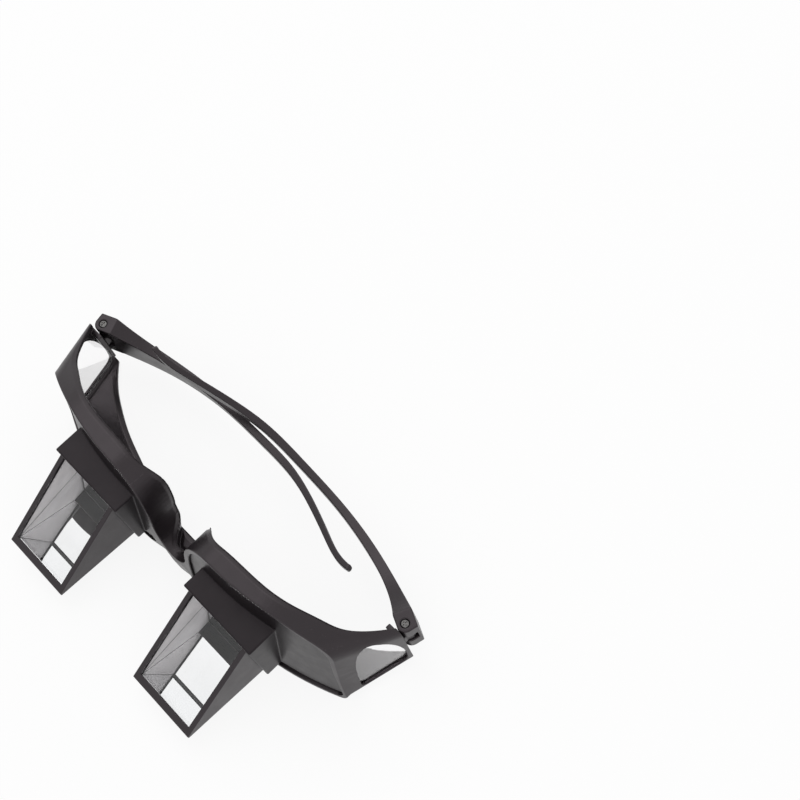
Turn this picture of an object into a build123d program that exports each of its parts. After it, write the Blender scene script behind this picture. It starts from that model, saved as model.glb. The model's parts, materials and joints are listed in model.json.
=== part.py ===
from build123d import *
import math
import os

os.makedirs("parts", exist_ok=True)

# Prism glasses for reading while lying on the back, folded up and resting on their brow edge.
# +X is the wearer's right, +Y goes from the prisms towards the face and +Z towards the chin.
# The right half is made first, and the left half is its mirror image.

# Front, all in millimetres. Depths are counted back from the flat faces of the prism collars.
frame_height = 42.2
collar_face_y = -12.5
wall = 1.6
overrun = 3.0
front_section_depth = 14.0
end_face_depth = 35.8
rear_section_margin = 2.2
nose_half_gap = 8.0
nose_arch_width = 16.0
nose_arch_height = 22.2
nose_foot_radius = 8.0
front_bend_x = 46.6
front_bend_drop = 0.3
front_corner_x = 65.3
front_corner_drop = 6.8
front_corner_radius = 11.0
front_foot_x = 70.1
rear_bend_x = 52.0
rear_bend_drop = 0.6
bend_radius = 30.0
rear_corner_x = 75.9
rear_corner_drop = 15.6
rear_corner_radius = 4.5
rear_foot_x = 75.6
foot_radius = 2.2

# Front face: flat over the nose, then wrapped round the face, and leaning forward at the brow
top_setback = 9.4
face_tilt = 10.5
flat_half_width = 22.0
wrap_radius = 113.0
lip_depth = 0.8
rim_width = 1.3
nose_rim_width = 2.3

# Front face at the brow round the nose: across as shares of the rear foot, and back as shares of
# the end face depth
nose_face_shares = (
    (-0.054, 0.103),
    (0.0, 0.087),
    (0.054, 0.103),
    (0.116, 0.101),
    (0.181, 0.075),
    (0.246, 0.064),
    (0.344, 0.036),
)

# Rear edge, counted in the same way, first along the chin edge and then along the brow edge
rear_edge_shares = (
    (0.0, 0.202, 0.202),
    (0.040, 0.320, 0.210),
    (0.066, 0.542, 0.220),
    (0.087, 0.651, 0.235),
    (0.108, 0.620, 0.250),
    (0.135, 0.570, 0.300),
    (0.179, 0.496, 0.360),
    (0.231, 0.442, 0.406),
    (0.317, 0.443, 0.414),
    (0.503, 0.458, 0.500),
    (0.661, 0.512, 0.612),
    (0.767, 0.586, 0.718),
    (0.847, 0.655, 0.818),
    (0.913, 0.812, 0.927),
    (0.966, 1.012, 1.034),
)

# Bridge
saddle_height = 12.0
saddle_rise = 12.5
saddle_half_width = 8.4
bar_height = 10.0
bar_front = 6.0
bar_depth = 12.2
bridge_pocket_width = 10.4
bridge_pocket_height = 6.4
bridge_floor = 2.0
bridge_front_depth = 8.2

# Side window and its clear lens. Its heights are shares of the frame's height, and its outline, from
# the lower front corner over the top to the lower rear one, is in shares of its half sizes.
window_depth = 26.5
window_half_width = 8.1
window_middle_share = 0.37
window_half_share = 0.313
window_outline_shares = (
    (-0.975, -0.788),
    (-0.901, -0.348),
    (-0.765, 0.197),
    (-0.605, 0.553),
    (-0.370, 0.833),
    (-0.074, 0.939),
    (0.210, 0.864),
    (0.605, 0.568),
    (0.877, 0.106),
    (0.988, -0.394),
    (0.963, -0.773),
)
window_rear_corner_shares = ((0.877, -0.932), (0.63, -1.0))
window_front_corner_shares = ((-0.728, -1.0), (-0.926, -0.947))
rebate = 0.7
rebate_depth = 0.7
glaze_gap = 0.05

# Lens panel and the collar that takes the prism housing
panel_thickness = 2.0
panel_gap = 0.1
panel_brow_gap = 1.1
prism_pitch = 64.0
collar_width = 30.6
collar_height = 25.2
collar_rise = 2.8
collar_length = 9.5
collar_edge = 0.4
sight_lip = 0.7
socket_depth = 6.8
socket_gap = 0.05

# Prism housing, a hollow wedge open at its sloped window and at the eye end
housing_width = 26.8
housing_reach = 29.95
housing_chin_step = 1.4
housing_brow_step = 0.9
housing_side = 1.75
housing_edge = 0.3
window_slope = 32.8
brow_slope = 4.6
window_recess = 1.2
window_head = 2.2
eye_recess = 1.0
mirror_height = 7.6
mirror_thickness = 0.3
prism_gap = 0.05

# Hinge, on an axis along Z at the end of each side shield
hinge_x = 72.4
hinge_reach = 3.1
hinge_top = 24.6
hinge_height = 15.2
knuckle_radius = 2.2
knuckle_height = 4.4
neck_half_width = 1.6
hinge_gap = 0.3
end_block_x = 69.0
end_block_depth = 1.7
screw_radius = 0.7
screw_gap = 0.05
screw_head_radius = 1.25
screw_head_height = 0.7
screw_sink = 0.2
screw_grip = 3.4
screw_seat_gap = 0.15
screw_slot_width = 0.4
screw_slot_length = 1.6
screw_slot_depth = 0.35

# Temples, as shares of the arm's length across and of the frame's height up
right_fold_angle = 25.4
left_fold_angle = 22.5
open_splay = 12.0
temple_outer = 3.4
temple_inner = 2.6
arm_length = 112.3
arm_plan_shares = (
    (0.031, -0.003, 0.0267),
    (0.134, 0.004, 0.0169),
    (0.268, 0.028, 0.0138),
    (0.419, 0.073, 0.0125),
    (0.571, 0.136, 0.0125),
    (0.713, 0.206, 0.0125),
    (0.820, 0.285, 0.0120),
    (0.892, 0.347, 0.0112),
    (0.954, 0.397, 0.0100),
    (1.000, 0.419, 0.0080),
)
arm_tip_share = 1.01
arm_side_shares = (
    (0.134, 0.412, 0.144),
    (0.268, 0.330, 0.168),
    (0.419, 0.311, 0.219),
    (0.571, 0.352, 0.275),
    (0.713, 0.430, 0.343),
    (0.820, 0.524, 0.420),
    (0.892, 0.603, 0.501),
    (0.954, 0.670, 0.588),
    (1.000, 0.714, 0.652),
)
arm_level = 4.0

# Values that follow from the sizes above
rear_section_depth = end_face_depth + rear_section_margin
window_height = frame_height * window_middle_share
window_half_height = frame_height * window_half_share
lean = math.tan(math.radians(face_tilt))
window_fall = math.tan(math.radians(window_slope))
brow_rise = math.tan(math.radians(brow_slope))
splay = math.radians(open_splay)
prism_x = prism_pitch / 2
collar_top = collar_rise + collar_height
chin_z = collar_top - housing_chin_step
brow_z = collar_rise + housing_brow_step
hinge_depth = end_face_depth + hinge_reach
cavity_width = housing_width - 2 * housing_side
hinge_bottom = hinge_top - hinge_height
hinge_middle = (hinge_top + hinge_bottom) / 2
slot_height = knuckle_height + 2 * hinge_gap
slot_radius = knuckle_radius + hinge_gap
end_radius = hinge_reach - hinge_gap


def depth(distance):
    """Y of a point that lies this far back from the collar faces."""
    return collar_face_y + distance


def across(y):
    """A plane across the glasses at y, with its X to the right and its Y up."""
    return Plane(origin=(0, y, 0), x_dir=(1, 0, 0), z_dir=(0, -1, 0))


def round_corner(sketch, point, radius):
    """Round the corner of a sketch that lies nearest to a point."""
    fillet(sketch.vertices().sort_by_distance(point)[0], radius)


plug_sections = (
    (front_section_depth, front_bend_x, front_bend_drop, front_corner_x, front_corner_drop,
     front_corner_radius, front_foot_x),
    (rear_section_depth, rear_bend_x, rear_bend_drop, rear_corner_x, rear_corner_drop,
     rear_corner_radius, rear_foot_x),
)


def goggle_plug(inset, nose_inset=None):
    """The right half of the front as one solid plug, drawn in by inset, and at the nose by its own."""
    if nose_inset is None:
        nose_inset = inset
    nose_x = nose_half_gap + nose_inset
    arch_x = nose_half_gap + nose_arch_width
    arch_z = frame_height - nose_arch_height
    top = frame_height - inset
    with BuildPart() as plug:
        for back, bend_x, bend_drop, corner_x, corner_drop, corner_radius, foot_x in plug_sections:
            bend = (bend_x, top - bend_drop)
            corner = (corner_x - inset, top - corner_drop)
            foot = (foot_x - inset, inset)
            nose_foot = (nose_x, inset)
            with BuildSketch(across(depth(back))) as outline:
                with BuildLine():
                    EllipticalCenterArc(
                        (arch_x, arch_z), nose_arch_width - nose_inset, nose_arch_height - inset, 90,
                        arc_size=90,
                    )
                    Polyline((nose_x, arch_z), nose_foot, foot, corner, bend, (arch_x, top))
                make_face()
                round_corner(outline, bend, bend_radius)
                round_corner(outline, corner, corner_radius - inset)
                round_corner(outline, foot, foot_radius)
                if inset > 0:
                    round_corner(outline, nose_foot, nose_foot_radius - inset)
        loft(ruled=True)
        extrude(plug.faces().sort_by(Axis.Y)[0], amount=front_section_depth)
    return plug.part


def ahead_of(shift):
    """Everything in front of the front face, once that face is moved back by shift."""
    low = -overrun
    face_y = depth(top_setback) - (frame_height - low) * lean + shift
    far_y = face_y - hinge_depth
    sweep = math.degrees(math.asin((rear_foot_x + overrun - flat_half_width) / wrap_radius))
    with BuildPart() as ahead:
        with BuildSketch(Plane.XY.offset(low)):
            with BuildLine():
                flat = Line((-overrun, face_y), (flat_half_width, face_y))
                wrap = CenterArc((flat_half_width, face_y + wrap_radius), wrap_radius, -90, sweep)
                end = wrap @ 1
                Polyline(end, (end.X, far_y), (-overrun, far_y), flat @ 0)
            make_face()
        lean_angle = math.radians(face_tilt)
        extrude(
            amount=(frame_height + 2 * overrun) / math.cos(lean_angle),
            dir=(0, math.sin(lean_angle), math.cos(lean_angle)),
        )
        nose_face = [(rear_foot_x * u, depth(end_face_depth * v) + shift) for u, v in nose_face_shares]
        with BuildSketch(Plane.XY.offset(low)):
            with BuildLine():
                Spline(*nose_face)
                Polyline(
                    nose_face[-1], (nose_face[-1][0], far_y), (nose_face[0][0], far_y), nose_face[0]
                )
            make_face()
        extrude(amount=frame_height + 2 * overrun)
    return ahead.part


def behind_rear_edge():
    """Everything behind the rear edges of the chin wall, the brow wall and the side shield."""
    far_x = rear_foot_x + overrun
    far_y = depth(rear_section_depth + overrun)
    stations = [row[0] for row in rear_edge_shares]
    with BuildPart() as behind:
        for level, column in ((-overrun, 2), (frame_height + overrun, 1)):
            edge = [(rear_foot_x * row[0], depth(end_face_depth * row[column])) for row in rear_edge_shares]
            with BuildSketch(Plane.XY.offset(level)):
                with BuildLine():
                    add(Edge.make_spline([Vector(*point) for point in edge], parameters=stations))
                    Polyline(
                        edge[-1], (far_x, edge[-1][1]), (far_x, far_y), (-overrun, far_y),
                        (-overrun, edge[0][1]), edge[0],
                    )
                make_face()
        loft(ruled=True)
        with BuildSketch(across(depth(end_face_depth))):
            Rectangle(2 * far_x, 4 * frame_height)
        extrude(amount=-hinge_depth)
    return behind.part


def window_prism(margin):
    """The side window's outline, grown by margin and carried through the side shield."""
    half_width = window_half_width + margin
    half_height = window_half_height + margin
    edge, rear_corner, front_corner = [
        [(depth(window_depth) + half_width * back, window_height + half_height * up) for back, up in shares]
        for shares in (window_outline_shares, window_rear_corner_shares, window_front_corner_shares)
    ]
    with BuildPart() as window:
        with BuildSketch(Plane.YZ.offset(rear_bend_x)):
            with BuildLine():
                Spline(*edge)
                ThreePointArc(edge[-1], *rear_corner)
                Line(rear_corner[-1], front_corner[0])
                ThreePointArc(*front_corner, edge[0])
            make_face()
        extrude(amount=rear_foot_x - rear_bend_x + overrun)
    return window.part


outer_plug = goggle_plug(0)
face_cut = ahead_of(0)
lip_cut = ahead_of(lip_depth)
panel_back = ahead_of(lip_depth + panel_thickness)
rear_cut = behind_rear_edge()
window_cut = window_prism(0)

# Hollow of one half of the front, behind the lip that the lens panel is held by
with BuildPart() as hollow:
    add(goggle_plug(wall))
    add(lip_cut, mode=Mode.SUBTRACT)

# Rebate inside the side window, where its lens sits
with BuildPart() as window_rebate:
    add(goggle_plug(wall - rebate_depth))
    add(window_prism(rebate), mode=Mode.INTERSECT)

# Right half of the bridge's front wall, with a saddle for the nose
with BuildPart() as bridge:
    with BuildSketch(across(depth(0))):
        Rectangle(
            nose_half_gap + wall / 2, saddle_height + saddle_rise, align=(Align.MIN, Align.MIN)
        )
        with Locations((0, saddle_height + saddle_rise)):
            Ellipse(saddle_half_width, saddle_rise, mode=Mode.SUBTRACT)
    extrude(amount=-rear_section_depth)

# Right half of the low bar behind it, and the pocket that hollows both from the face side
with BuildPart() as bridge_bar:
    with BuildSketch(across(depth(bar_front))):
        Rectangle(nose_half_gap + wall / 2, bar_height, align=(Align.MIN, Align.MIN))
    extrude(amount=bar_front - bar_depth)
with BuildPart() as bridge_pocket:
    with BuildSketch(across(depth(bridge_front_depth))):
        with Locations((0, bridge_floor)):
            Rectangle(bridge_pocket_width, bridge_pocket_height, align=(Align.CENTER, Align.MIN))
    extrude(amount=-front_section_depth)

# Lug inside the end of the side shield, and the knuckle that the temple turns on
with BuildPart() as knuckle:
    with BuildSketch(across(depth(end_face_depth - end_block_depth))):
        with Locations((end_block_x, hinge_bottom)):
            Rectangle(rear_foot_x, hinge_height, align=(Align.MIN, Align.MIN))
    extrude(amount=-end_block_depth)
    add(outer_plug, mode=Mode.INTERSECT)
    with BuildSketch(Plane.XY.offset(hinge_middle - knuckle_height / 2)):
        with Locations((hinge_x, depth(hinge_depth))):
            Circle(knuckle_radius)
            Rectangle(
                2 * neck_half_width, hinge_reach + end_block_depth / 2,
                align=(Align.CENTER, Align.MAX),
            )
            Circle(screw_radius, mode=Mode.SUBTRACT)
    extrude(amount=knuckle_height)

# Front: rims, chin and brow walls, side shields, bridge and hinge knuckles in one moulding
with BuildPart() as frame_front:
    add(outer_plug)
    add(goggle_plug(rim_width, nose_rim_width), mode=Mode.SUBTRACT)
    add(hollow.part, mode=Mode.SUBTRACT)
    add(bridge.part)
    add(face_cut, mode=Mode.SUBTRACT)
    add(rear_cut, mode=Mode.SUBTRACT)
    add(bridge_bar.part)
    add(bridge_pocket.part, mode=Mode.SUBTRACT)
    add(knuckle.part)
    add(window_cut, mode=Mode.SUBTRACT)
    add(window_rebate.part, mode=Mode.SUBTRACT)
    mirror(about=Plane.YZ)
frame_front.part.label = "frame_front"
export_step(frame_front.part, "parts/frame_front.step")

# Clear lens in the rebate of the side window
with BuildPart() as right_side_lens:
    add(goggle_plug(wall - rebate_depth + glaze_gap))
    add(window_prism(rebate - glaze_gap), mode=Mode.INTERSECT)
    add(goggle_plug(wall), mode=Mode.SUBTRACT)

# Space behind the panel, further back than the collar reaches
collar_centre = (prism_x, collar_rise + collar_height / 2)
socket_centre = (prism_x, (chin_z + brow_z) / 2)
with BuildPart() as collar_relief:
    with BuildSketch(across(depth(collar_length))):
        with Locations(collar_centre):
            Rectangle(collar_width + overrun, collar_height + overrun)
    extrude(amount=-front_section_depth)
    add(panel_back, mode=Mode.SUBTRACT)

# Opaque panel in the lens opening, with the collar that holds the prism housing
with BuildPart() as collar:
    with BuildSketch(across(depth(0))):
        with Locations(collar_centre):
            Rectangle(collar_width, collar_height)
    extrude(amount=-front_section_depth)
    fillet(collar.edges() - collar.edges().group_by(Axis.Y)[-1], collar_edge)
    add(collar_relief.part, mode=Mode.SUBTRACT)
with BuildPart() as right_lens_panel:
    add(goggle_plug(wall + panel_gap))
    add(panel_back, mode=Mode.INTERSECT)
    add(lip_cut, mode=Mode.SUBTRACT)
    with BuildSketch():
        Rectangle(3 * rear_foot_x, 3 * rear_foot_x)
    extrude(amount=wall + panel_brow_gap, mode=Mode.SUBTRACT)
    add(collar.part)
    with BuildSketch(across(depth(0))):
        with Locations(socket_centre):
            Rectangle(housing_width + 2 * socket_gap, chin_z - brow_z + 2 * socket_gap)
    extrude(amount=-socket_depth, mode=Mode.SUBTRACT)
    with BuildSketch(across(depth(0))):
        with Locations(socket_centre):
            Rectangle(housing_width - 2 * sight_lip, chin_z - brow_z - 2 * sight_lip)
    extrude(amount=-front_section_depth, mode=Mode.SUBTRACT)


def window_z(back):
    """Height of the prism's window face at this distance back from the collar faces."""
    return chin_z - window_recess + back * window_fall


def floor_z(back):
    """Height of the housing's brow face at this distance back from the collar faces."""
    return brow_z - back * brow_rise


# Side profile of the prism, from its eye face to its tip
mirror_bottom = mirror_height - mirror_thickness
mirror_seat = mirror_bottom - prism_gap
head_z = collar_top - window_head
head_back = (head_z - window_z(0)) / window_fall
eye_back = socket_depth - eye_recess
tip_back = (mirror_height - window_z(0)) / window_fall
housing_tip = -housing_reach
left_of_housing = Plane.YZ.offset(prism_x - housing_width / 2)
left_of_cavity = Plane.YZ.offset(prism_x - cavity_width / 2)
left_of_prism = Plane.YZ.offset(prism_x - cavity_width / 2 + prism_gap)

with BuildPart() as right_prism_housing:
    with BuildSketch(left_of_housing):
        with BuildLine():
            Polyline(
                (depth(socket_depth), chin_z),
                (depth(0), chin_z),
                (depth(housing_tip), chin_z + housing_tip * window_fall),
                (depth(housing_tip), floor_z(housing_tip)),
                (depth(0), brow_z),
                (depth(socket_depth), brow_z),
                close=True,
            )
        make_face()
    extrude(amount=housing_width)
    shell_edges = right_prism_housing.edges()
    fillet(shell_edges - shell_edges.group_by(Axis.Y)[-1], housing_edge)
    with BuildSketch(left_of_cavity):
        with BuildLine():
            Polyline(
                (depth(socket_depth), head_z + prism_gap),
                (depth(head_back), head_z + prism_gap),
                (depth(head_back), chin_z + overrun),
                (depth(tip_back - prism_gap), chin_z + overrun),
                (depth(tip_back - prism_gap), mirror_seat),
                (depth(socket_depth), mirror_seat),
                close=True,
            )
        make_face()
    extrude(amount=cavity_width, mode=Mode.SUBTRACT)

with BuildPart() as right_prism:
    with BuildSketch(left_of_prism):
        with BuildLine():
            Polyline(
                (depth(eye_back), head_z),
                (depth(head_back), head_z),
                (depth(tip_back), mirror_height),
                (depth(eye_back), mirror_height),
                close=True,
            )
        make_face()
    extrude(amount=cavity_width - 2 * prism_gap)

with BuildPart() as right_prism_mirror:
    with BuildSketch(left_of_prism):
        with BuildLine():
            Polyline(
                (depth(eye_back), mirror_height),
                (depth(tip_back), mirror_height),
                (depth(tip_back), mirror_bottom),
                (depth(eye_back), mirror_bottom),
                close=True,
            )
        make_face()
    extrude(amount=cavity_width - 2 * prism_gap)

# Hinge screw, held in the knuckle and turned in by the cross in its head
head_top = hinge_top - screw_sink
screw_end = hinge_middle - slot_height / 2 - screw_grip
with BuildPart() as right_hinge_screw:
    with BuildSketch(Plane.XY.offset(screw_end)):
        with Locations((hinge_x, depth(hinge_depth))):
            Circle(screw_radius)
    extrude(amount=head_top - screw_head_height / 2 - screw_end)
    with BuildSketch(Plane.XY.offset(head_top - screw_head_height)):
        with Locations((hinge_x, depth(hinge_depth))):
            Circle(screw_head_radius)
    extrude(amount=screw_head_height)
    fillet(right_hinge_screw.edges().group_by(Axis.Z)[-1], screw_sink)
    with BuildSketch(Plane.XY.offset(head_top - screw_slot_depth)):
        with Locations((hinge_x, depth(hinge_depth))):
            Rectangle(screw_slot_length, screw_slot_width)
            Rectangle(screw_slot_width, screw_slot_length)
    extrude(amount=screw_slot_depth, mode=Mode.SUBTRACT)


def temple_at(fold_angle):
    """The right temple, folded to this angle from the line between the two hinges."""
    fold = math.radians(fold_angle)
    hinge = (hinge_x, depth(hinge_depth), 0)
    along = (-math.cos(fold), math.sin(fold), 0)
    plan = Plane(origin=hinge, x_dir=along, z_dir=(0, 0, 1))
    side = Plane(origin=hinge, x_dir=along, z_dir=(math.sin(fold), math.cos(fold), 0))
    outer_end = (-(end_radius - temple_outer * math.sin(splay)) / math.cos(splay), -temple_outer)
    inner_turn = math.degrees(math.asin(temple_inner / end_radius))
    outer_edge = [(arm_length * u, arm_length * (v - half)) for u, v, half in arm_plan_shares]
    inner_edge = [(arm_length * u, arm_length * (v + half)) for u, v, half in arm_plan_shares]
    upper_edge = [(arm_length * u, frame_height * top) for u, top, low in arm_side_shares]
    lower_edge = [(arm_length * u, frame_height * low) for u, top, low in arm_side_shares]
    plan_tip = (arm_length * arm_tip_share, (outer_edge[-1][1] + inner_edge[-1][1]) / 2)
    side_tip = (arm_length * arm_tip_share, (upper_edge[-1][1] + lower_edge[-1][1]) / 2)
    with BuildPart() as temple:
        with BuildSketch(plan):
            with BuildLine():
                stop = CenterArc((0, 0), end_radius, 180 - inner_turn, inner_turn + open_splay)
                Polyline(stop @ 1, outer_end, outer_edge[0])
                Spline(*outer_edge)
                ThreePointArc(outer_edge[-1], plan_tip, inner_edge[-1])
                Spline(*inner_edge)
                Line(inner_edge[0], stop @ 0)
            make_face()
        extrude(amount=frame_height)
        with BuildSketch(side):
            with BuildLine():
                Polyline(
                    (arm_level, hinge_bottom), (-arm_level, hinge_bottom),
                    (-arm_level, hinge_top), (arm_level, hinge_top),
                )
                Spline((arm_level, hinge_top), *upper_edge)
                ThreePointArc(upper_edge[-1], side_tip, lower_edge[-1])
                Spline((arm_level, hinge_bottom), *lower_edge)
            make_face()
        extrude(amount=arm_length, both=True, mode=Mode.INTERSECT)
        with BuildSketch(plan.offset(hinge_middle - slot_height / 2)):
            Circle(slot_radius)
            Rectangle(slot_radius, arm_level, align=(Align.MIN, Align.MIN))
            with Locations((0, -slot_radius)):
                Rectangle(arm_level, slot_radius + arm_level, align=(Align.MAX, Align.MIN))
        extrude(amount=slot_height, mode=Mode.SUBTRACT)
        with BuildSketch(plan.offset(screw_end - hinge_gap)):
            Circle(screw_radius + screw_gap)
        extrude(amount=frame_height, mode=Mode.SUBTRACT)
        with BuildSketch(plan.offset(head_top - screw_head_height - screw_seat_gap)):
            Circle(screw_head_radius + screw_seat_gap)
        extrude(amount=frame_height, mode=Mode.SUBTRACT)
    return temple.part


# Temples, each folded as it lies, the right one outside the left one
with BuildPart() as right_temple:
    add(temple_at(right_fold_angle))
right_temple.part.label = "right_temple"
export_step(right_temple.part, "parts/right_temple.step")

with BuildPart() as left_temple:
    mirror(temple_at(left_fold_angle), about=Plane.YZ)
left_temple.part.label = "left_temple"
export_step(left_temple.part, "parts/left_temple.step")

# The other pieces of the right half, and their mirror images
for piece, name in (
    (right_lens_panel, "lens_panel"),
    (right_side_lens, "side_lens"),
    (right_prism_housing, "prism_housing"),
    (right_prism, "prism"),
    (right_prism_mirror, "prism_mirror"),
    (right_hinge_screw, "hinge_screw"),
):
    piece.part.label = "right_" + name
    export_step(piece.part, "parts/right_" + name + ".step")
    with BuildPart() as copy:
        mirror(piece.part, about=Plane.YZ)
    copy.part.label = "left_" + name
    export_step(copy.part, "parts/left_" + name + ".step")
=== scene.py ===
import json
import math

import bmesh
import bpy
from mathutils import Matrix, Vector
from mathutils.kdtree import KDTree


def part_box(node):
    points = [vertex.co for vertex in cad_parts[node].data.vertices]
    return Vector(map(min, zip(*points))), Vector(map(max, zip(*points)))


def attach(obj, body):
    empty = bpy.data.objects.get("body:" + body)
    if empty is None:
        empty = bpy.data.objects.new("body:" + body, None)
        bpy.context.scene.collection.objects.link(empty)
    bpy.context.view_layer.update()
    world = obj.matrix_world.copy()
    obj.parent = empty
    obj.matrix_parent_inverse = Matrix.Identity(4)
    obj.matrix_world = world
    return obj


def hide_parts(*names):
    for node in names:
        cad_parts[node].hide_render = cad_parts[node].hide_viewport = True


# Prism bed glasses, folded and resting upside down on their brow edge. Everything is in metres, in
# the CAD frame: +X the wearer's right, +Y towards the face, +Z towards the chin.
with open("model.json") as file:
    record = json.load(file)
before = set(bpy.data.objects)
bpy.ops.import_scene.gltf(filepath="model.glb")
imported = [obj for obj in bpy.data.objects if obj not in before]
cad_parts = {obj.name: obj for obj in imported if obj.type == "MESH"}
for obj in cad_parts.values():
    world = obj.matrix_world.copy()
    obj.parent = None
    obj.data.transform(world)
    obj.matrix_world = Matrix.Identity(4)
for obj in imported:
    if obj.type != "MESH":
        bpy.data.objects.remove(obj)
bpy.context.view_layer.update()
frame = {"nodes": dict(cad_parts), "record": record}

MM = 0.001
SIDES = ("right", "left")

# Camera, fitted to the photograph: where it stands and the directions of its own axes
CAMERA_PLACE = Vector((196.137, -10.529, 448.377)) * MM
CAMERA_RIGHT = Vector((0.684036, 0.715743, -0.140732))
CAMERA_UP = Vector((-0.624112, 0.674132, 0.395006))
CAMERA_BACK = Vector((0.377595, -0.182366, 0.907835))
CAMERA_LENS = 67.5
CAMERA_SENSOR = 36.0

# Soft lamps, in watts, all aimed at the middle of the glasses, and the light that comes from all round
LAMP_TARGET = Vector((0.0, 0.0, 0.02))
LAMP_SIZE = 1.0
KEY_PLACE = Vector((-0.5, 0.35, 0.9))
KEY_POWER = 3.0
FILL_PLACE = Vector((0.7, -0.6, 0.6))
FILL_POWER = 1.5
WORLD_STRENGTH = 0.75

# Floor: half its width, how far it lies below the brow edge, and the grey of its lit surface
FLOOR_HALF = 1.5
FLOOR_DROP = 0.05 * MM
FLOOR_GREY = (0.9, 0.9, 0.9, 1.0)
WHITE = (1.0, 1.0, 1.0, 1.0)

# Share of the floor's own white, the rest being its lit surface, which takes the shadow
FLOOR_WHITE = 0.88

# Black plastics: base colour, roughness, depth of the grain and strength of the gloss
BODY_LOOK = ((0.009, 0.0070, 0.0082), 0.36, 0.16, 0.46)
PANEL_LOOK = ((0.008, 0.0062, 0.0074), 0.34, 0.08, 0.24)
GLOSS_TINT = (1.0, 0.90, 0.95, 1.0)
PLASTIC_IOR = 1.5

# The plastics' colour drifts between these multiples of it, and is paler on sharp edges, partly as wear
# from handling and partly as a painted highlight
DARK_DRIFT = 0.86
LIGHT_DRIFT = 1.16
WEAR_AND_HIGHLIGHT_GAIN = 2.2
WEAR_AND_HIGHLIGHT_LIFT = 0.006
WEAR_AND_HIGHLIGHT_SHARE = 0.8

# How much rougher or smoother handling leaves the plastics
SMUDGE_SMOOTHER = 0.04
SMUDGE_ROUGHER = 0.05

# Depth that a bump of strength 1 has: the plastics' grain, and everything coarser
GRAIN_DEPTH = 0.01 * MM
BUMP_DEPTH = 0.02 * MM

# Clear materials
GLASS_COLOUR = (0.995, 0.997, 0.997, 1.0)
GLASS_IOR = 1.5
LENS_COLOUR = (0.98, 0.975, 0.98, 1.0)
LENS_IOR = 1.49

# Other finishes, each as the two colours that it drifts between
GROUND_COLOURS = ((0.58, 0.56, 0.57, 1.0), (0.70, 0.68, 0.69, 1.0))
BLACKENED_COLOURS = ((0.03, 0.03, 0.031, 1.0), (0.05, 0.05, 0.052, 1.0))
ARRIS_COLOURS = ((0.08, 0.078, 0.078, 1.0), (0.16, 0.155, 0.155, 1.0))
SILVER_COLOURS = ((0.93, 0.935, 0.94, 1.0), (0.96, 0.965, 0.97, 1.0))
STEEL_COLOURS = ((0.05, 0.05, 0.05, 1.0), (0.16, 0.155, 0.15, 1.0))

# Softened copies of the mouldings: voxel size and smoothing
VOXEL = 0.16 * MM
SMOOTH_STEPS = 10
SMOOTH_FACTOR = 0.5
EASE_STEPS = 3

# Vertices of a CAD mesh that lie this close are one, and faces that meet at less than these angles,
# in radians, are one flat face of a housing or of a prism
MERGE_GAP = MM / 1000
HOUSING_FLAT = 0.01
PRISM_FLAT = 0.02

# Edges that turn by more than this, in radians, are sharp edges of a moulding
SHARP_ANGLE = 0.6

# Rounding of the housings' sharp edges
EDGE_ROUND = 0.1 * MM

# Prism surfaces are told apart by their normals, by at least this cosine, and the rest are arrises
FLAT_NORMAL = 0.995
ARRIS = 0.12 * MM

# The mirror plate stands this far clear of the glass, and its own edges are broken by less
COAT_GAP = 0.02 * MM
COAT_ARRIS = ARRIS / 3

# Black border round the prism's eye face, and the narrower one along its upper edge
EYE_BORDER = 0.9 * MM
EYE_TOP_BORDER = 0.4 * MM

# Rear edges of the front run between a face that looks back and stands upright, give or take a lean,
# and an outer face, which looks towards the chin or, this close to the middle, towards the nose
NOSE_REACH = 26.0 * MM
REAR_LOOKS_BACK = 0.1
OUTER_LOOKS_BACK = 0.7
OUTER_LOOKS_UP = 0.15
WALL_LOOKS_UP = 0.5
WALL_LEAN = 0.3
SHIELD_LEAN = 0.02

# Bevel along those edges: its width on the surface and its depth at the edge, on surfaces that face
# the way the outer face does, by at least this cosine
REAR_BEVEL_WIDTH = 1.5 * MM
REAR_BEVEL_DROP = 0.7 * MM
SAME_WAY = 0.5

# The bevel fades out between these distances from the middle, before the end faces at the hinges
FADE_START = 62.0 * MM
FADE_END = 69.0 * MM

# Share of a side lens's normal that points sideways on its faces, and not on its edge, which gets the black
# plastic as painted shade
LENS_FACE = 0.7


def make_camera():
    data = bpy.data.cameras.new("camera")
    data.lens = CAMERA_LENS
    data.sensor_width = CAMERA_SENSOR
    data.clip_start = MM
    camera = bpy.data.objects.new("camera", data)
    turn = Matrix((CAMERA_RIGHT, CAMERA_UP, CAMERA_BACK)).transposed()
    camera.matrix_world = Matrix.Translation(CAMERA_PLACE) @ turn.to_4x4()
    bpy.context.collection.objects.link(camera)
    bpy.context.scene.camera = camera


def area_light(name, place, power):
    data = bpy.data.lights.new(name, "AREA")
    data.shape = "DISK"
    data.size = LAMP_SIZE
    data.energy = power
    light = bpy.data.objects.new(name, data)
    turn = (LAMP_TARGET - place).to_track_quat("-Z", "Y").to_matrix().to_4x4()
    light.matrix_world = Matrix.Translation(place) @ turn
    bpy.context.collection.objects.link(light)


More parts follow.
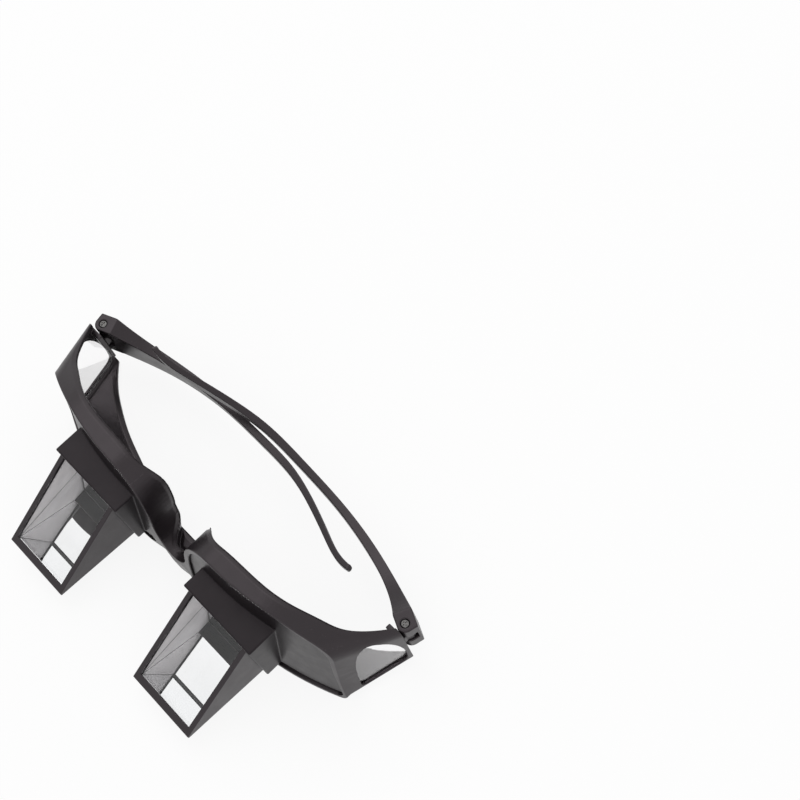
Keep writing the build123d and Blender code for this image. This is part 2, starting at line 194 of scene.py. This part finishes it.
class Nodes:
    """The node tree of a material or a world, with short calls that add and link its nodes."""

    def __init__(self, tree):
        self.tree = tree
        tree.nodes.clear()

    def add(self, kind, **inputs):
        node = self.tree.nodes.new(kind)
        for name, value in inputs.items():
            self.put(node, name.replace("_", " "), value)
        return node

    def put(self, node, name, value):
        if isinstance(value, bpy.types.NodeSocket):
            self.tree.links.new(value, node.inputs[name])
        else:
            node.inputs[name].default_value = value

    def noise(self, where, scale, detail=4.0, roughness=0.55):
        node = self.add("ShaderNodeTexNoise", Vector=where, Scale=scale, Detail=detail, Roughness=roughness)
        return node.outputs["Fac"]

    def ramp(self, value, span, result):
        """The value's span from one number to another, mapped to the span of the result."""
        node = self.add("ShaderNodeMapRange", Value=value)
        for name, number in zip(("From Min", "From Max", "To Min", "To Max"), span + result):
            node.inputs[name].default_value = number
        return node.outputs["Result"]

    def blend(self, factor, first, second):
        node = self.tree.nodes.new("ShaderNodeMix")
        node.data_type = "RGBA"
        self.put(node, 0, factor)
        self.put(node, 6, first)
        self.put(node, 7, second)
        return node.outputs[2]

    def bump(self, height, strength, depth, normal=None):
        node = self.add("ShaderNodeBump", Height=height, Strength=strength, Distance=depth)
        if normal is not None:
            self.put(node, "Normal", normal)
        return node.outputs["Normal"]

    def larger(self, first, second):
        node = self.tree.nodes.new("ShaderNodeMath")
        node.operation = "MAXIMUM"
        self.put(node, 0, first)
        self.put(node, 1, second)
        return node.outputs[0]

    def mix(self, factor, first, second):
        node = self.add("ShaderNodeMixShader", Fac=factor)
        self.put(node, 1, first)
        self.put(node, 2, second)
        return node.outputs[0]


def new_material(name, **fixed):
    """A material with a principled shader, whose fixed inputs are named with _ for each space."""
    material = bpy.data.materials.new(name)
    material.use_nodes = True
    nodes = Nodes(material.node_tree)
    shader = nodes.add("ShaderNodeBsdfPrincipled", **fixed)
    nodes.add("ShaderNodeOutputMaterial", Surface=shader.outputs["BSDF"])
    where = nodes.add("ShaderNodeTexCoord").outputs["Object"]
    return material, nodes, shader, where


def moulded_plastic(name, look):
    """Black moulded plastic: fine grain, a slow drift of colour, sharp edges paler partly from wear and
    partly as a painted highlight, and handling marks.
    """
    colour, roughness, grain, gloss = look
    material, nodes, shader, where = new_material(
        name, IOR=PLASTIC_IOR, Specular_IOR_Level=gloss, Specular_Tint=GLOSS_TINT
    )
    drift = nodes.noise(where, scale=45.0, detail=3.0)
    speckle = nodes.noise(where, scale=5200.0, detail=2.0)
    smudge = nodes.noise(where, scale=160.0, detail=5.0, roughness=0.65)
    dark = [c * DARK_DRIFT for c in colour] + [1.0]
    light = [c * LIGHT_DRIFT for c in colour] + [1.0]
    wear_and_highlight = [c * WEAR_AND_HIGHLIGHT_GAIN + WEAR_AND_HIGHLIGHT_LIFT for c in colour] + [1.0]
    body = nodes.blend(nodes.ramp(drift, (0.35, 0.65), (0.0, 1.0)), dark, light)
    # Sharp edges turn paler: partly wear from handling, partly a painted highlight
    edges = nodes.add("ShaderNodeNewGeometry").outputs["Pointiness"]
    wear_and_highlight_mask = nodes.ramp(edges, (0.60, 0.70), (0.0, WEAR_AND_HIGHLIGHT_SHARE))
    rough = nodes.ramp(smudge, (0.3, 0.7), (roughness - SMUDGE_SMOOTHER, roughness + SMUDGE_ROUGHER))
    fine = nodes.bump(speckle, grain, GRAIN_DEPTH)
    nodes.put(shader, "Base Color", nodes.blend(wear_and_highlight_mask, body, wear_and_highlight))
    nodes.put(shader, "Roughness", rough)
    nodes.put(shader, "Normal", nodes.bump(smudge, grain / 2, BUMP_DEPTH, fine))
    return material


def let_light_in(nodes, shader):
    """Let lamp light and scattered light straight through, so that what a clear piece covers is lit."""
    path = nodes.add("ShaderNodeLightPath")
    passing = nodes.larger(path.outputs["Is Shadow Ray"], path.outputs["Is Diffuse Ray"])
    clear = nodes.add("ShaderNodeBsdfTransparent").outputs["BSDF"]
    output = nodes.tree.nodes["Material Output"]
    nodes.put(output, "Surface", nodes.mix(passing, shader.outputs["BSDF"], clear))


def polished_glass(name):
    """Clear optical glass, polished, with the faintest of smears."""
    material, nodes, shader, where = new_material(
        name, Base_Color=GLASS_COLOUR, IOR=GLASS_IOR, Transmission_Weight=1.0
    )
    smear = nodes.noise(where, scale=120.0, roughness=0.6)
    nodes.put(shader, "Roughness", nodes.ramp(smear, (0.45, 0.75), (0.0, 0.012)))
    let_light_in(nodes, shader)
    return material


def hazy_clear_plastic(name):
    """The side windows' thin clear plastic, faintly hazed by handling."""
    material, nodes, shader, where = new_material(
        name, Base_Color=LENS_COLOUR, IOR=LENS_IOR, Transmission_Weight=1.0
    )
    haze = nodes.noise(where, scale=140.0, roughness=0.6)
    nodes.put(shader, "Roughness", nodes.ramp(haze, (0.3, 0.7), (0.01, 0.04)))
    let_light_in(nodes, shader)
    return material


def ground_glass(name, colours):
    """A ground face or edge of the prism, with a powdery grain."""
    material, nodes, shader, where = new_material(name)
    grain = nodes.noise(where, scale=1500.0, roughness=0.7)
    cloud = nodes.ramp(nodes.noise(where, scale=90.0, detail=3.0), (0.35, 0.7), (0.0, 1.0))
    nodes.put(shader, "Base Color", nodes.blend(cloud, *colours))
    nodes.put(shader, "Roughness", nodes.ramp(grain, (0.3, 0.7), (0.62, 0.8)))
    nodes.put(shader, "Normal", nodes.bump(grain, 0.3, BUMP_DEPTH))
    return material


def silvered(name):
    """The mirror layer on the prism's lower face, with the slightest unevenness."""
    material, nodes, shader, where = new_material(name, Metallic=1.0)
    tone = nodes.ramp(nodes.noise(where, scale=60.0, detail=3.0), (0.3, 0.7), (0.0, 1.0))
    haze = nodes.noise(where, scale=200.0)
    nodes.put(shader, "Base Color", nodes.blend(tone, *SILVER_COLOURS))
    nodes.put(shader, "Roughness", nodes.ramp(haze, (0.4, 0.8), (0.0, 0.02)))
    return material


def screw_steel(name):
    """Steel with a fine grain, given a far darker colour than bare steel."""
    material, nodes, shader, where = new_material(name, Metallic=1.0)
    grain = nodes.noise(where, scale=1800.0, detail=3.0)
    tone = nodes.ramp(grain, (0.3, 0.7), (0.0, 1.0))
    nodes.put(shader, "Base Color", nodes.blend(tone, *STEEL_COLOURS))
    nodes.put(shader, "Roughness", nodes.ramp(grain, (0.3, 0.7), (0.22, 0.38)))
    nodes.put(shader, "Normal", nodes.bump(grain, 0.25, BUMP_DEPTH))
    return material


def body_of_node(node):
    for body, members in frame["record"]["behaviour"]["bodies"].items():
        if node in members:
            return body


def stand_in(node, mesh, name):
    """A modelled piece that takes a CAD node's place and rides on its body."""
    piece = bpy.data.objects.new(name, mesh)
    bpy.context.collection.objects.link(piece)
    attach(piece, body_of_node(node))
    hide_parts(node)
    return piece


def cad_mesh(node, flat_angle=None):
    """A CAD node's mesh for editing, its triangles joined, and its flat faces whole if given an angle."""
    work = bmesh.new()
    work.from_mesh(frame["nodes"][node].data)
    bmesh.ops.remove_doubles(work, verts=work.verts, dist=MERGE_GAP)
    if flat_angle is not None:
        bmesh.ops.dissolve_limit(work, angle_limit=flat_angle, verts=work.verts, edges=work.edges)
    return work


def fresh_mesh(work, name, materials):
    """A new mesh of an edited one, which leaves the normals behind that came with the CAD mesh."""
    work.verts.index_update()
    points = [vertex.co for vertex in work.verts]
    faces = [[vertex.index for vertex in face.verts] for face in work.faces]
    mesh = bpy.data.meshes.new(name)
    mesh.from_pydata(points, [], faces)
    for material in materials:
        mesh.materials.append(material)
    for polygon, face in zip(mesh.polygons, work.faces):
        polygon.material_index = face.material_index
        polygon.use_smooth = face.smooth
    work.free()
    return mesh


def baked(piece):
    """Give the piece the mesh that its modifiers make."""
    depsgraph = bpy.context.evaluated_depsgraph_get()
    mesh = bpy.data.meshes.new_from_object(piece.evaluated_get(depsgraph))
    piece.modifiers.clear()
    piece.data = mesh


def eased(piece, steps):
    """Even out the piece's surface, which also rounds its edges."""
    smooth = piece.modifiers.new("smooth", "SMOOTH")
    smooth.factor = SMOOTH_FACTOR
    smooth.iterations = steps
    baked(piece)


def softened(node, name, material):
    """A moulding with the small edge radii that its CAD solid leaves out."""
    piece = stand_in(node, frame["nodes"][node].data.copy(), name)
    remesh = piece.modifiers.new("remesh", "REMESH")
    remesh.mode = "VOXEL"
    remesh.voxel_size = VOXEL
    eased(piece, SMOOTH_STEPS)
    piece.data.materials.clear()
    piece.data.materials.append(material)
    piece.data.shade_smooth()
    return piece


def edged(node, name, material):
    """A moulding whose flat walls stay where they are, and whose sharp edges are rounded off."""
    work = cad_mesh(node, HOUSING_FLAT)
    sharp = [
        edge for edge in work.edges
        if len(edge.link_faces) == 2 and edge.calc_face_angle() > SHARP_ANGLE
    ]
    bmesh.ops.bevel(work, geom=sharp, offset=EDGE_ROUND, segments=2, profile=0.5, affect="EDGES")
    for face in work.faces:
        face.smooth = True
    piece = stand_in(node, fresh_mesh(work, name, [material]), name)
    piece.modifiers.new("weighted", "WEIGHTED_NORMAL")
    baked(piece)


def is_rear_edge(rear, outer, middle):
    """Whether faces with these two normals meet in a rear edge of the front, at this middle."""
    at_nose = abs(middle.x) < NOSE_REACH
    lean = WALL_LEAN if at_nose or outer.z > WALL_LOOKS_UP else SHIELD_LEAN
    if abs(rear.z) >= lean or rear.y <= REAR_LOOKS_BACK:
        return False
    if abs(outer.y) >= max(rear.y, OUTER_LOOKS_BACK):
        return False
    return outer.z > OUTER_LOOKS_UP or (at_nose and outer.x * middle.x < 0)


def rear_edge_points():
    """Points along the outer rear edges of the front, each with the outer surface's normal there."""
    work = cad_mesh("frame_front")
    points = []
    for edge in work.edges:
        if len(edge.link_faces) != 2 or edge.calc_face_angle() < SHARP_ANGLE:
            continue
        start, end = [vertex.co.copy() for vertex in edge.verts]
        first, second = [face.normal.copy() for face in edge.link_faces]
        steps = max(1, math.ceil(edge.calc_length() / VOXEL))
        for rear, outer in ((first, second), (second, first)):
            if is_rear_edge(rear, outer, (start + end) / 2):
                points += [(start.lerp(end, step / steps), outer) for step in range(steps + 1)]
    work.free()
    return points


def bevelled_rear(piece):
    """Lower the surface towards the rear edges, which makes the bevel that runs along them."""
    points = rear_edge_points()
    tree = KDTree(len(points))
    for index, point in enumerate(points):
        tree.insert(point[0], index)
    tree.balance()
    moves = []
    for vertex in piece.data.vertices:
        place, index, distance = tree.find(vertex.co)
        outer = points[index][1]
        if distance < REAR_BEVEL_WIDTH and vertex.normal.dot(outer) > SAME_WAY:
            fade = min(1.0, max(0.0, (FADE_END - abs(place.x)) / (FADE_END - FADE_START)))
            share = (1.0 - distance / REAR_BEVEL_WIDTH) * fade
            moves.append((vertex, outer * (-REAR_BEVEL_DROP * share)))
    for vertex, move in moves:
        vertex.co += move


def cut_glass(node, name, finishes):
    """A prism with its arrises broken, and each face in its own finish."""
    work = cad_mesh(node, PRISM_FLAT)
    normals = [face.normal for face in work.faces]
    window = max(normals, key=lambda normal: -normal.y * normal.z).copy()
    bmesh.ops.bevel(work, geom=work.edges, offset=ARRIS, segments=1, affect="EDGES")
    faces = {
        "polished": (window, Vector((0, 1, 0))),
        "ground": (Vector((1, 0, 0)), Vector((-1, 0, 0))),
        "silver": (Vector((0, 0, -1)),),
        "black": (Vector((0, 0, 1)),),
    }
    names = list(finishes)
    for face in work.faces:
        face.material_index = names.index("arris")
        for finish, directions in faces.items():
            if max(face.normal.dot(direction) for direction in directions) > FLAT_NORMAL:
                face.material_index = names.index(finish)
        face.smooth = False
    eye_face = max(work.faces, key=lambda face: face.normal.y)
    border = bmesh.ops.inset_individual(work, faces=[eye_face], thickness=EYE_BORDER)
    for face in border["faces"]:
        face.material_index = names.index("black")
    middle = eye_face.calc_center_median()
    for vertex in eye_face.verts:
        if vertex.co.z > middle.z:
            vertex.co.z += EYE_BORDER - EYE_TOP_BORDER
    stand_in(node, fresh_mesh(work, name, finishes.values()), name)


def mirror_coat(node, name, material):
    """The mirror's plate, just clear of the glass, with its edges broken."""
    low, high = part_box(node)
    work = cad_mesh(node, PRISM_FLAT)
    for vertex in work.verts:
        if vertex.co.z > (low.z + high.z) / 2:
            vertex.co.z -= COAT_GAP
    bmesh.ops.bevel(work, geom=work.edges, offset=COAT_ARRIS, segments=1, affect="EDGES")
    for face in work.faces:
        face.smooth = False
    stand_in(node, fresh_mesh(work, name, [material]), name)


def lens_with_painted_shade_edge(node, name, clear, painted_edge_shade):
    """A side window's lens, whose edge is painted with shade, as dark as the rebate that it sits in."""
    mesh = frame["nodes"][node].data.copy()
    mesh.materials.clear()
    mesh.materials.append(clear)
    mesh.materials.append(painted_edge_shade)
    # The lens's edge faces take the black plastic: painted shade of the rebate
    for polygon in mesh.polygons:
        polygon.material_index = 1 if abs(polygon.normal.x) < LENS_FACE else 0
    stand_in(node, mesh, name)


def paint(node, material):
    """Give a CAD node that is shown as it is a better material."""
    mesh = frame["nodes"][node].data
    for index in range(len(mesh.materials)):
        mesh.materials[index] = material


def seen_directly(nodes):
    """1 for rays from the camera, and for those that metal reflects or glass lets through."""
    path = nodes.add("ShaderNodeLightPath")
    bounced = nodes.larger(path.outputs["Is Camera Ray"], path.outputs["Is Glossy Ray"])
    return nodes.larger(bounced, path.outputs["Is Transmission Ray"])


def make_stage():
    """A plain pale floor just below the brow edge."""
    signs = ((-1, -1), (1, -1), (1, 1), (-1, 1))
    mesh = bpy.data.meshes.new("floor")
    mesh.from_pydata([(x * FLOOR_HALF, y * FLOOR_HALF, -FLOOR_DROP) for x, y in signs], [], [(0, 1, 2, 3)])
    floor = bpy.data.objects.new("floor", mesh)
    bpy.context.collection.objects.link(floor)
    material = bpy.data.materials.new("floor_white")
    material.use_nodes = True
    nodes = Nodes(material.node_tree)
    matt = nodes.add("ShaderNodeBsdfDiffuse", Color=FLOOR_GREY)
    white = nodes.add("ShaderNodeEmission", Color=WHITE, Strength=1.0)
    share = nodes.ramp(seen_directly(nodes), (0.0, 1.0), (0.0, FLOOR_WHITE))
    surface = nodes.mix(share, matt.outputs[0], white.outputs[0])
    nodes.add("ShaderNodeOutputMaterial", Surface=surface)
    mesh.materials.append(material)


def make_world():
    """A white background, which lights the glasses a little less than it shows."""
    world = bpy.data.worlds.new("studio")
    bpy.context.scene.world = world
    world.use_nodes = True
    nodes = Nodes(world.node_tree)
    ambient = nodes.add("ShaderNodeBackground", Color=WHITE, Strength=WORLD_STRENGTH)
    white = nodes.add("ShaderNodeBackground", Color=WHITE, Strength=1.0)
    surface = nodes.mix(seen_directly(nodes), ambient.outputs[0], white.outputs[0])
    nodes.add("ShaderNodeOutputWorld", Surface=surface)


def make_glasses():
    body = moulded_plastic("satin_black", BODY_LOOK)
    panel = moulded_plastic("semi_gloss_black", PANEL_LOOK)
    clear = hazy_clear_plastic("hazy_clear")
    steel = screw_steel("screw_steel")
    mirror = silvered("silvered")
    finishes = {
        "polished": polished_glass("optical_glass"),
        "ground": ground_glass("ground_glass", GROUND_COLOURS),
        "silver": mirror,
        "black": ground_glass("blackened_glass", BLACKENED_COLOURS),
        "arris": ground_glass("broken_arris", ARRIS_COLOURS),
    }
    front = softened("frame_front", "front_moulding", body)
    bevelled_rear(front)
    eased(front, EASE_STEPS)
    front.data.shade_smooth()
    for side in SIDES:
        softened(side + "_temple", side + "_temple_moulding", body)
        softened(side + "_lens_panel", side + "_panel_moulding", panel)
        edged(side + "_prism_housing", side + "_housing_moulding", body)
        cut_glass(side + "_prism", side + "_cut_prism", finishes)
        mirror_coat(side + "_prism_mirror", side + "_mirror_coat", mirror)
        lens_with_painted_shade_edge(side + "_side_lens", side + "_window_lens", clear, body)
        paint(side + "_hinge_screw", steel)


make_camera()
make_world()
make_stage()
area_light("key", KEY_PLACE, KEY_POWER)
area_light("fill", FILL_PLACE, FILL_POWER)
make_glasses()
bpy.context.scene.view_settings.view_transform = "Standard"
